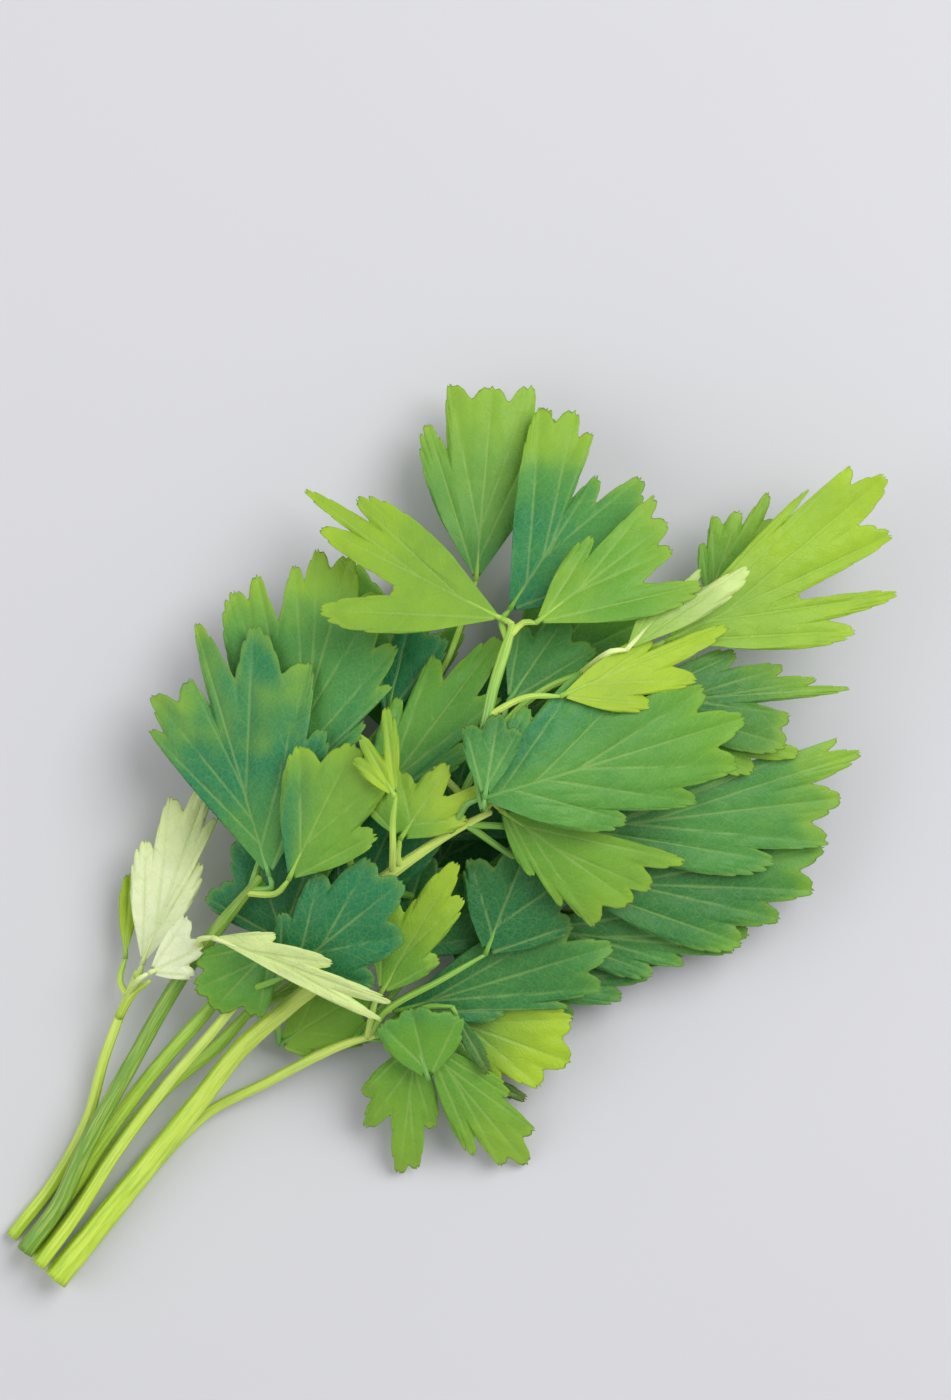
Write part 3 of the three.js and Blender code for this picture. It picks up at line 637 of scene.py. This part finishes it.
def frames_along(line):
    """A sideways and an upward direction at each point, which never twist."""
    side = None
    turned = []
    for index, point in enumerate(line):
        ahead = line[min(index + 1, len(line) - 1)] - line[max(index - 1, 0)]
        ahead.normalize()
        if side is None:
            side = ahead.orthogonal()
        side = (side - ahead * side.dot(ahead)).normalized()
        turned.append((point, side, ahead.cross(side)))
    return turned


# Rings that close a tube at a cut, each as a share of its radius and whether it is pith,
# and rings past its far end, each as a place and a radius in shares of the last radius.
CUT_END = ((0, True), (0.35, True), (0.72, True), (0.8, False), (0.93, False))
FAR_END = ((0.6, 0.6), (0.8, 0))
TUBE_SIDES = 28
END_TAPER = 0.35
TAPER_START = 0.8
SWELL = 0.03
SWELL_GRAIN = 0.25
TUBE_MOTTLE = 0.25
TUBE_MOTTLE_GRAIN = 0.09
STREAK_RING = 2


def tube(build, line, radii, colours, tone, layers, stem, cut=False):
    """A ribbed round shoot along a line, with a cut or a rounded lower end."""
    places = frames_along(line)
    closing = CUT_END if cut else ((0, False),)
    rings = [(*places[0], radii[0] * part, 0, 0, pale) for part, pale in closing]
    travelled = 0
    total = sum((b - a).length for a, b in zip(line, line[1:]))
    for index, (point, side, up) in enumerate(places):
        if index:
            travelled += (point - line[index - 1]).length
        part = travelled / total
        radius = mix(radii[0], radii[1], part) * (1 - END_TAPER * smooth(TAPER_START, 1, part))
        rings.append((point, side, up, radius, part, travelled, False))
    tip = (line[-1] - line[-2]).normalized()
    last = radii[1] * (1 - END_TAPER)
    for ahead, share_left in FAR_END:
        rings.append((line[-1] + tip * last * ahead, side, up, last * share_left, 1, travelled, False))
    verts = grid(build, TUBE_SIDES, len(rings) - 1)
    vein, tone_layer = layers
    pith = Vector(colours.pith)
    for (column, row), vertex in verts.items():
        point, side, up, radius, part, travelled, pale = rings[row]
        angle = math.tau * column / TUBE_SIDES
        outward = side * math.cos(angle) + up * math.sin(angle)
        rib = stem.rib_height * math.cos(stem.ribs * angle)
        place = point + outward * radius * (1 + rib)
        swell = SWELL * noise.noise(place * SWELL_GRAIN)
        place += outward * radius * swell
        vertex.co = placed(*place)
        streak = (math.cos(angle) * STREAK_RING, math.sin(angle) * STREAK_RING, travelled)
        vertex[vein] = Vector(streak)
        part += TUBE_MOTTLE * noise.noise(place * TUBE_MOTTLE_GRAIN)
        vertex[tone_layer] = (*(pith if pale else toned(colours, tone, part)), 1)
    return {face for vertex in verts.values() for face in vertex.link_faces}


# Rows of a blade stand closer towards its edge by this power, and the edge thins over these
# millimetres. Mottles are strengths and grains of noise in the colour.
ROW_POWER = 1.15
EDGE_THINNING = (-0.2, 0.8)
TONE_POWER = 1.2
MOTTLES = ((0.3, 0.06), (0.12, 0.22))
# Painted light along the edge: the share of lime that the edge takes on, and how far out it starts.
EDGE_PAINTED_LIGHT = 0.22
EDGE_LIGHT_FROM = 0.9
FEWEST_ROWS = 6


def shell(build, blade, colours, layers):
    """The blade itself: a grid that runs over the upper side and back under the lower."""
    settings = blade.settings
    spans = len(blade.columns) - 1
    rows = max(FEWEST_ROWS, round(blade.longest * MM / settings.fineness))
    verts = grid(build, 2 * spans, rows)
    vein, tone_layer = layers
    tone = blade.leaf["tone"]
    # The lime of the painted light along each blade's edge.
    bright = Vector(colours.lime)
    half = settings.thickness / MM / 2
    known = {}
    for (column, row), vertex in verts.items():
        upper = column <= spans
        place_in_edge = column if upper else 2 * spans - column
        key = (place_in_edge, row)
        if key not in known:
            outward = 1 - (1 - row / rows) ** ROW_POWER
            turn, reach = blade.columns[place_in_edge]
            distance = mix(NECK, reach, outward)
            x, y, z = blade.surface(turn, distance)
            here = Vector((x, y, blade.seed))
            z += relief(blade, turn, distance, outward, here)
            to_edge = (reach - distance) if place_in_edge not in (0, spans) else 0
            thick = half * smooth(*EDGE_THINNING, to_edge) if to_edge > 0 and row else 0
            part = (distance / blade.longest) ** TONE_POWER
            for strength, grain in MOTTLES:
                part += strength * noise.noise(here * grain)
            level = toned(colours, tone, part)
            # Painted shade: one side of some blades is darkened towards teal or deep.
            if "shade" in blade.leaf:
                level = level.lerp(*painted_side_shade(colours, blade.leaf["shade"], turn, outward))
            # Painted light: the edge of each blade is lightened towards lime.
            level = level.lerp(bright, EDGE_PAINTED_LIGHT * smooth(EDGE_LIGHT_FROM, 1, outward))
            by_vein = Vector((*blade.beside_vein(turn, distance), outward))
            known[key] = (x, y, z, thick, by_vein, level)
        x, y, z, thick, by_vein, level = known[key]
        vertex.co = placed(x, y, z + (thick if upper else -thick))
        vertex[vein] = by_vein
        vertex[tone_layer] = (*level, 1)


# The colours of a leaf's stalk, by the leaf's material slot.
STALK_TONES = {
    "leaf_deep": ("fresh", "grass"),
    "leaf_green": ("grass", "leaf"),
    "leaf_bright": ("shoot", "fresh"),
    "leaf_yellow": ("shoot", "fresh"),
    "leaf_pale": ("shoot", "pale"),
}


# A stalk joins its stem back from the nearest place by this share of the way to it, and by
# no more than this many millimetres.
JOINT_SLOPE = 0.8
LONGEST_SLOPE = 5
JOINT_STEP = 1.0


def joint_below(start):
    """The place on a stem that a stalk grows from: near its start, nearer the cut end."""
    closest, joint = math.inf, None
    for shape in STEMS.values():
        line = smooth_path(shape["path"], JOINT_STEP)
        nearest = min(range(len(line)), key=lambda index: (line[index] - start).length)
        away = (line[nearest] - start).length
        if away < closest:
            back = round(min(away * JOINT_SLOPE, LONGEST_SLOPE))
            closest, joint = away, line[max(0, nearest - back)]
    return joint


# Lengths of a stalk's parts: the stub behind a blade that has no path of its own, the step
# of its rings, and the rib that it goes on as under the blade, which sinks into it.
STUB = 2
STALK_STEP = 1.2
RIB_SHARE = 0.6
RIB_STEPS = 8
RIB_SINKS = (0.05, 0.25)
RIB_TIP = 0.12


def grow_leaf(name, leaf, scene):
    """One leaf: its blade and its stalk, in one piece that stands for its solid."""
    blade_settings, stem, colours = scene.parsley_blade, scene.parsley_stem, scene.parsley_colour
    build, layers = started()
    blade = Blade(name, leaf, blade_settings)
    shell(build, blade, colours, layers)
    base = leaf["base"]
    starts = list(leaf.get("stalk", ()))
    if not starts:
        x, y = base[0] - STUB * math.cos(blade.heading), base[1] - STUB * math.sin(blade.heading)
        starts = [(x, y, leaf["level"])]
    line = [Vector((x, y, head_height(x, y) * level / LEVELS)) for x, y, level in starts]
    line.insert(0, joint_below(line[0]))
    line.append((*base, head_height(*base) * leaf["level"] / LEVELS))
    middle = min(blade.lobes, key=lambda lobe: abs(lobe[0]))
    under = min(blade_settings.midrib / MM, middle[1] * RIB_SHARE)
    radii = (blade_settings.stalk_low / MM, blade_settings.stalk_high / MM)
    stalk_tone = STALK_TONES[leaf["slot"]]
    stalk = tube(build, smooth_path(line, STALK_STEP), radii, colours, stalk_tone, layers, stem)
    rib = []
    for step in range(RIB_STEPS + 1):
        part = step / RIB_STEPS
        x, y, z = blade.surface(middle[0], mix(0, under, part))
        rib.append(Vector((x, y, z - mix(*RIB_SINKS, part))))
    rib_tone = (stalk_tone[-1], leaf["tone"][0])
    stalk |= tube(build, rib, (radii[1], RIB_TIP), colours, rib_tone, layers, stem)
    for face in stalk:
        face.material_index = 1
    piece = finished(build, f"blade_{name}", [leaf_material(), stem_material()])
    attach(piece, BODY)
    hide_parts(f"leaf_{name}")


def grow_stem(name, shape, scene):
    """One stem, with its fork if it has one."""
    stem, colours = scene.parsley_stem, scene.parsley_colour
    build, layers = started()
    at_cut = shape["path"][0][0] < 0
    branches = [(shape, at_cut)]
    if "fork" in shape:
        branches.append((shape["fork"], False))
    for branch, cut in branches:
        line = smooth_path(branch["path"], stem.fineness / MM)
        tube(build, line, branch["radius"], colours, shape["tone"], layers, stem, cut)
    piece = finished(build, f"shoot_{name}", [stem_material()])
    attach(piece, BODY)
    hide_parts(name)


# ---- materials


# Where a Mix node keeps its two colours and its result.
FIRST_COLOUR, SECOND_COLOUR, BLENDED_COLOUR = 6, 7, 2

# Tints of the skins, as scene-linear levels.
DEEP_CLOUD = (0.02, 0.2, 0.06, 1)
LIGHT_GRAIN = (0.5, 0.72, 0.12, 1)
NET_TINT = (0.5, 0.72, 0.16, 1)
SIDE_VEIN_TINT = (0.42, 0.66, 0.14, 1)
MAIN_VEIN_TINT = (0.5, 0.72, 0.2, 1)
STREAK_TINT = (0.72, 0.83, 0.22, 1)
FURROW_TINT = (0.16, 0.36, 0.05, 1)
STEM_CLOUD = (0.2, 0.42, 0.06, 1)
FLOOR_CLOUD = 1.04

# Side veins: their slant, their wander and half their spacing in millimetres.
VEIN_SLANT = 1.25
VEIN_WANDER = 2.4
VEIN_SPACING = 1.9
MAIN_VEIN_WANDER = 0.35
TRANSLUCENCY = 0.28


class Nodes:
    """Short ways to add and join the nodes of one material."""

    def __init__(self, name):
        self.material = bpy.data.materials.new(name)
        self.material.use_nodes = True
        self.tree = self.material.node_tree
        self.tree.nodes.clear()

    def add(self, kind, inputs=None, **options):
        node = self.tree.nodes.new(kind)
        for option, value in options.items():
            setattr(node, option, value)
        for socket, value in (inputs or {}).items():
            self.feed(node.inputs[socket], value)
        return node

    def feed(self, socket, value):
        if isinstance(value, bpy.types.NodeSocket):
            self.tree.links.new(value, socket)
        else:
            socket.default_value = value

    def math(self, operation, *values):
        return self.add("ShaderNodeMath", dict(enumerate(values)), operation=operation).outputs[0]

    def noise(self, place, scale, detail):
        inputs = {"Vector": place, "Scale": scale, "Detail": detail}
        return self.add("ShaderNodeTexNoise", inputs).outputs["Fac"]

    def span(self, value, low, high, to_low, to_high):
        inputs = {"Value": value, "From Min": low, "From Max": high}
        inputs |= {"To Min": to_low, "To Max": to_high}
        node = self.add("ShaderNodeMapRange", inputs, interpolation_type="SMOOTHSTEP")
        return node.outputs["Result"]

    def blend(self, part, first, second):
        inputs = {"Factor": part, FIRST_COLOUR: first, SECOND_COLOUR: second}
        return self.add("ShaderNodeMix", inputs, data_type="RGBA").outputs[BLENDED_COLOUR]

    def tinted(self, skin, tint, value, low, high, most):
        """The skin, tinted where a value goes from low to high, by most at the end."""
        return self.blend(self.span(value, low, high, 0.0, most), skin, tint)

    def finish(self, shader):
        self.add("ShaderNodeOutputMaterial", {"Surface": shader.outputs[0]})
        return self.material


def leaf_material():
    """Leaf skin: paler main veins, fine side veins, a net between them, soft sheen."""
    name = "parsley_leaf"
    if name in bpy.data.materials:
        return bpy.data.materials[name]
    nodes = Nodes(name)
    tone = nodes.add("ShaderNodeAttribute", attribute_name="tone").outputs["Color"]
    vein = nodes.add("ShaderNodeAttribute", attribute_name="vein").outputs["Vector"]
    axes = nodes.add("ShaderNodeSeparateXYZ", {0: vein}).outputs
    place = nodes.add("ShaderNodeTexCoord").outputs["Object"]
    wobble = nodes.noise(place, 260.0, 2.0)
    shift = nodes.math("SUBTRACT", wobble, 0.5)

    away = nodes.math("ADD", axes["X"], nodes.math("MULTIPLY", shift, MAIN_VEIN_WANDER))
    main = nodes.span(nodes.math("ABSOLUTE", away), 0.06, 0.42, 1.0, 0.0)
    main = nodes.math("MULTIPLY", main, nodes.span(axes["Z"], 0.55, 1.0, 1.0, 0.15))

    slope = nodes.math("SUBTRACT", axes["Y"], nodes.math("MULTIPLY", axes["X"], VEIN_SLANT))
    slope = nodes.math("ADD", slope, nodes.math("MULTIPLY", shift, VEIN_WANDER))
    side = nodes.span(nodes.math("PINGPONG", slope, VEIN_SPACING), 0.05, 0.3, 1.0, 0.0)
    side = nodes.math("MULTIPLY", side, nodes.span(axes["X"], 0.0, 6.0, 0.8, 0.3))

    net_inputs = {"Vector": place, "Scale": 900.0, "Randomness": 1.0}
    net = nodes.add("ShaderNodeTexVoronoi", net_inputs, feature="DISTANCE_TO_EDGE")
    net = nodes.span(net.outputs["Distance"], 0.0, 0.16, 1.0, 0.0)
    grain = nodes.noise(place, 2600.0, 3.0)
    cloud = nodes.noise(place, 90.0, 4.0)

    skin = nodes.tinted(tone, DEEP_CLOUD, cloud, 0.4, 0.75, 0.2)
    skin = nodes.tinted(skin, LIGHT_GRAIN, grain, 0.3, 0.7, 0.08)
    skin = nodes.blend(nodes.math("MULTIPLY", net, 0.06), skin, NET_TINT)
    skin = nodes.blend(nodes.math("MULTIPLY", side, 0.12), skin, SIDE_VEIN_TINT)
    skin = nodes.blend(nodes.math("MULTIPLY", main, 0.28), skin, MAIN_VEIN_TINT)

    sunk = nodes.math("ADD", nodes.math("MULTIPLY", main, -1.0), nodes.math("MULTIPLY", side, -0.5))
    sunk = nodes.math("ADD", sunk, nodes.math("MULTIPLY", net, -0.25))
    sunk = nodes.math("ADD", sunk, nodes.math("MULTIPLY", grain, 0.2))
    bump = nodes.add("ShaderNodeBump", {"Height": sunk, "Strength": 0.45, "Distance": 0.0002})
    normal = bump.outputs["Normal"]
    rough = nodes.span(cloud, 0.3, 0.7, 0.42, 0.56)
    gloss = {"Base Color": skin, "Roughness": rough, "Normal": normal, "Specular IOR Level": 0.35}
    front = nodes.add("ShaderNodeBsdfPrincipled", gloss)
    through = nodes.add("ShaderNodeBsdfTranslucent", {"Color": skin, "Normal": normal})
    sides = {"Fac": TRANSLUCENCY, 1: front.outputs[0], 2: through.outputs[0]}
    return nodes.finish(nodes.add("ShaderNodeMixShader", sides))


def stem_material():
    """Stem skin: long fine streaks, a little gloss, slight mottling."""
    name = "parsley_stem"
    if name in bpy.data.materials:
        return bpy.data.materials[name]
    nodes = Nodes(name)
    tone = nodes.add("ShaderNodeAttribute", attribute_name="tone").outputs["Color"]
    grain = nodes.add("ShaderNodeAttribute", attribute_name="vein").outputs["Vector"]
    long_way = nodes.add("ShaderNodeMapping", {"Vector": grain, "Scale": (1.0, 1.0, 0.07)})
    streak = nodes.noise(long_way.outputs[0], 2.4, 4.0)
    place = nodes.add("ShaderNodeTexCoord").outputs["Object"]
    cloud = nodes.noise(place, 140.0, 3.0)
    skin = nodes.tinted(tone, STREAK_TINT, streak, 0.4, 0.7, 0.35)
    skin = nodes.tinted(skin, FURROW_TINT, streak, 0.55, 0.3, 0.3)
    skin = nodes.tinted(skin, STEM_CLOUD, cloud, 0.45, 0.75, 0.2)
    height = nodes.math("ADD", streak, nodes.math("MULTIPLY", cloud, 0.3))
    bump = nodes.add("ShaderNodeBump", {"Height": height, "Strength": 0.3, "Distance": 0.0003})
    rough = nodes.span(streak, 0.3, 0.7, 0.32, 0.46)
    skin_inputs = {"Base Color": skin, "Roughness": rough, "Normal": bump.outputs["Normal"]}
    depth = {
        "Subsurface Weight": 0.15, "Subsurface Radius": (0.4, 0.8, 0.15), "Subsurface Scale": 0.001
    }
    return nodes.finish(nodes.add("ShaderNodeBsdfPrincipled", skin_inputs | depth))


def floor_material(tint):
    """A plain matt sheet with the faintest cloudiness."""
    nodes = Nodes("studio_floor")
    place = nodes.add("ShaderNodeTexCoord").outputs["Object"]
    cloud = nodes.noise(place, 6.0, 2.0)
    lighter = tuple(min(1, level * FLOOR_CLOUD) for level in tint)
    skin = nodes.blend(cloud, (*tint, 1), (*lighter, 1))
    matt = {"Base Color": skin, "Roughness": 0.9, "Specular IOR Level": 0.1}
    return nodes.finish(nodes.add("ShaderNodeBsdfPrincipled", matt))


# ---- operators


UNDOABLE = {"REGISTER", "UNDO"}


def grow_leaves(scene, leaves):
    for name, leaf in leaves.items():
        grow_leaf(name, leaf, scene)
    return {"FINISHED"}


class PARSLEY_OT_crown(bpy.types.Operator):
    """Grow the leaflets at the crown"""

    bl_idname = "parsley.crown"
    bl_label = "Crown leaflets"
    bl_options = UNDOABLE

    def execute(self, context):
        return grow_leaves(context.scene, CROWN)


class PARSLEY_OT_far_right(bpy.types.Operator):
    """Grow the sprig whose tips are the far end of the bunch"""

    bl_idname = "parsley.far_right"
    bl_label = "Far right sprig"
    bl_options = UNDOABLE

    def execute(self, context):
        return grow_leaves(context.scene, FAR_RIGHT)


class PARSLEY_OT_right_side(bpy.types.Operator):
    """Grow the blades of the right side of the head"""

    bl_idname = "parsley.right_side"
    bl_label = "Right side"
    bl_options = UNDOABLE

    def execute(self, context):
        return grow_leaves(context.scene, RIGHT_SIDE)


class PARSLEY_OT_hanging(bpy.types.Operator):
    """Grow the leaflets that hang below the head"""

    bl_idname = "parsley.hanging"
    bl_label = "Hanging leaflets"
    bl_options = UNDOABLE

    def execute(self, context):
        return grow_leaves(context.scene, HANGING)


class PARSLEY_OT_young(bpy.types.Operator):
    """Grow the small young leaflets on top"""

    bl_idname = "parsley.young"
    bl_label = "Young leaflets"
    bl_options = UNDOABLE

    def execute(self, context):
        return grow_leaves(context.scene, YOUNG)


class PARSLEY_OT_left_side(bpy.types.Operator):
    """Grow the big leaf on the left and the round blades beside it"""

    bl_idname = "parsley.left_side"
    bl_label = "Left side"
    bl_options = UNDOABLE

    def execute(self, context):
        return grow_leaves(context.scene, LEFT_SIDE)


class PARSLEY_OT_middle(bpy.types.Operator):
    """Grow the leaves in the middle, deep green as painted shade"""

    bl_idname = "parsley.middle"
    bl_label = "Middle leaves"
    bl_options = UNDOABLE

    def execute(self, context):
        return grow_leaves(context.scene, MIDDLE)


class PARSLEY_OT_pale(bpy.types.Operator):
    """Grow the pale leaflets where the stems enter the head"""

    bl_idname = "parsley.pale"
    bl_label = "Pale leaflets"
    bl_options = UNDOABLE

    def execute(self, context):
        return grow_leaves(context.scene, PALE)


class PARSLEY_OT_underneath(bpy.types.Operator):
    """Grow the leaves between the head and the ground"""

    bl_idname = "parsley.underneath"
    bl_label = "Leaves underneath"
    bl_options = UNDOABLE

    def execute(self, context):
        return grow_leaves(context.scene, UNDERNEATH)


class PARSLEY_OT_stems(bpy.types.Operator):
    """Grow the stems of the bunch"""

    bl_idname = "parsley.stems"
    bl_label = "Stems"
    bl_options = UNDOABLE

    def execute(self, context):
        for name, shape in STEMS.items():
            grow_stem(name, shape, context.scene)
        return {"FINISHED"}


# Each light's place and size. Both point at the origin.
KEY_LIGHT = ((0.7, -0.15, 1.0), 0.9)
FILL_LIGHT = ((-0.6, 0.7, 0.8), 1.2)
CLIP_DISTANCES = 4


def soft_light(name, place, size, energy):
    lamp = bpy.data.lights.new(name, "AREA")
    lamp.shape = "DISK"
    lamp.size = size
    lamp.energy = energy
    light = bpy.data.objects.new(name, lamp)
    light.location = place
    light.rotation_euler = (-Vector(place)).to_track_quat("-Z", "Y").to_euler()
    bpy.context.scene.collection.objects.link(light)


class PARSLEY_OT_stage(bpy.types.Operator):
    """Set the floor, the soft lights and the camera"""

    bl_idname = "parsley.stage"
    bl_label = "Stage"
    bl_options = UNDOABLE

    def execute(self, context):
        scene = context.scene
        stage = scene.parsley_stage
        build = bmesh.new()
        bmesh.ops.create_grid(build, x_segments=1, y_segments=1, size=stage.floor_size)
        mesh = bpy.data.meshes.new("floor")
        build.to_mesh(mesh)
        build.free()
        mesh.materials.append(floor_material(tuple(stage.floor_colour)))
        floor = bpy.data.objects.new("floor", mesh)
        scene.collection.objects.link(floor)

        world = bpy.data.worlds.new("studio")
        world.use_nodes = True
        background = world.node_tree.nodes["Background"].inputs
        background["Color"].default_value = (1, 1, 1, 1)
        background["Strength"].default_value = stage.sky
        scene.world = world
        soft_light("key", *KEY_LIGHT, stage.key_power)
        soft_light("fill", *FILL_LIGHT, stage.fill_power)

        lens = bpy.data.cameras.new("camera")
        lens.lens = stage.lens
        camera = bpy.data.objects.new("camera", lens)
        away = stage.view_height * lens.lens / lens.sensor_width
        camera.location = Vector(stage.aim) + Vector((0, 0, away))
        camera.rotation_euler = (0, 0, stage.turn)
        lens.clip_end = CLIP_DISTANCES * away
        scene.collection.objects.link(camera)
        scene.camera = camera
        scene.view_settings.view_transform = "Standard"
        return {"FINISHED"}


class PARSLEY_PT_bunch(bpy.types.Panel):
    """Lists what grows the bunch"""

    bl_idname = "PARSLEY_PT_bunch"
    bl_label = "Parsley bunch"
    bl_space_type = "VIEW_3D"
    bl_region_type = "UI"
    bl_category = "Parsley"

    def draw(self, context):
        for operator in OPERATORS:
            self.layout.operator(operator.bl_idname)
        for name, group in SETTINGS.items():
            box = self.layout.box()
            for setting in group.__annotations__:
                box.prop(getattr(context.scene, name), setting)


OPERATORS = (
    PARSLEY_OT_stage,
    PARSLEY_OT_stems,
    PARSLEY_OT_crown,
    PARSLEY_OT_far_right,
    PARSLEY_OT_right_side,
    PARSLEY_OT_hanging,
    PARSLEY_OT_young,
    PARSLEY_OT_left_side,
    PARSLEY_OT_middle,
    PARSLEY_OT_pale,
    PARSLEY_OT_underneath,
)
CLASSES = (*SETTINGS.values(), *OPERATORS, PARSLEY_PT_bunch)


def register():
    for part in CLASSES:
        bpy.utils.register_class(part)
    for name, group in SETTINGS.items():
        setattr(bpy.types.Scene, name, bpy.props.PointerProperty(type=group))


def unregister():
    for name in SETTINGS:
        delattr(bpy.types.Scene, name)
    for part in reversed(CLASSES):
        bpy.utils.unregister_class(part)


def main():
    register()
    bpy.ops.parsley.stage()
    bpy.ops.parsley.stems()
    bpy.ops.parsley.crown()
    bpy.ops.parsley.far_right()
    bpy.ops.parsley.right_side()
    bpy.ops.parsley.hanging()
    bpy.ops.parsley.young()
    bpy.ops.parsley.left_side()
    bpy.ops.parsley.middle()
    bpy.ops.parsley.pale()
    bpy.ops.parsley.underneath()
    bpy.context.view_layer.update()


if __name__ == "__main__":
    main()
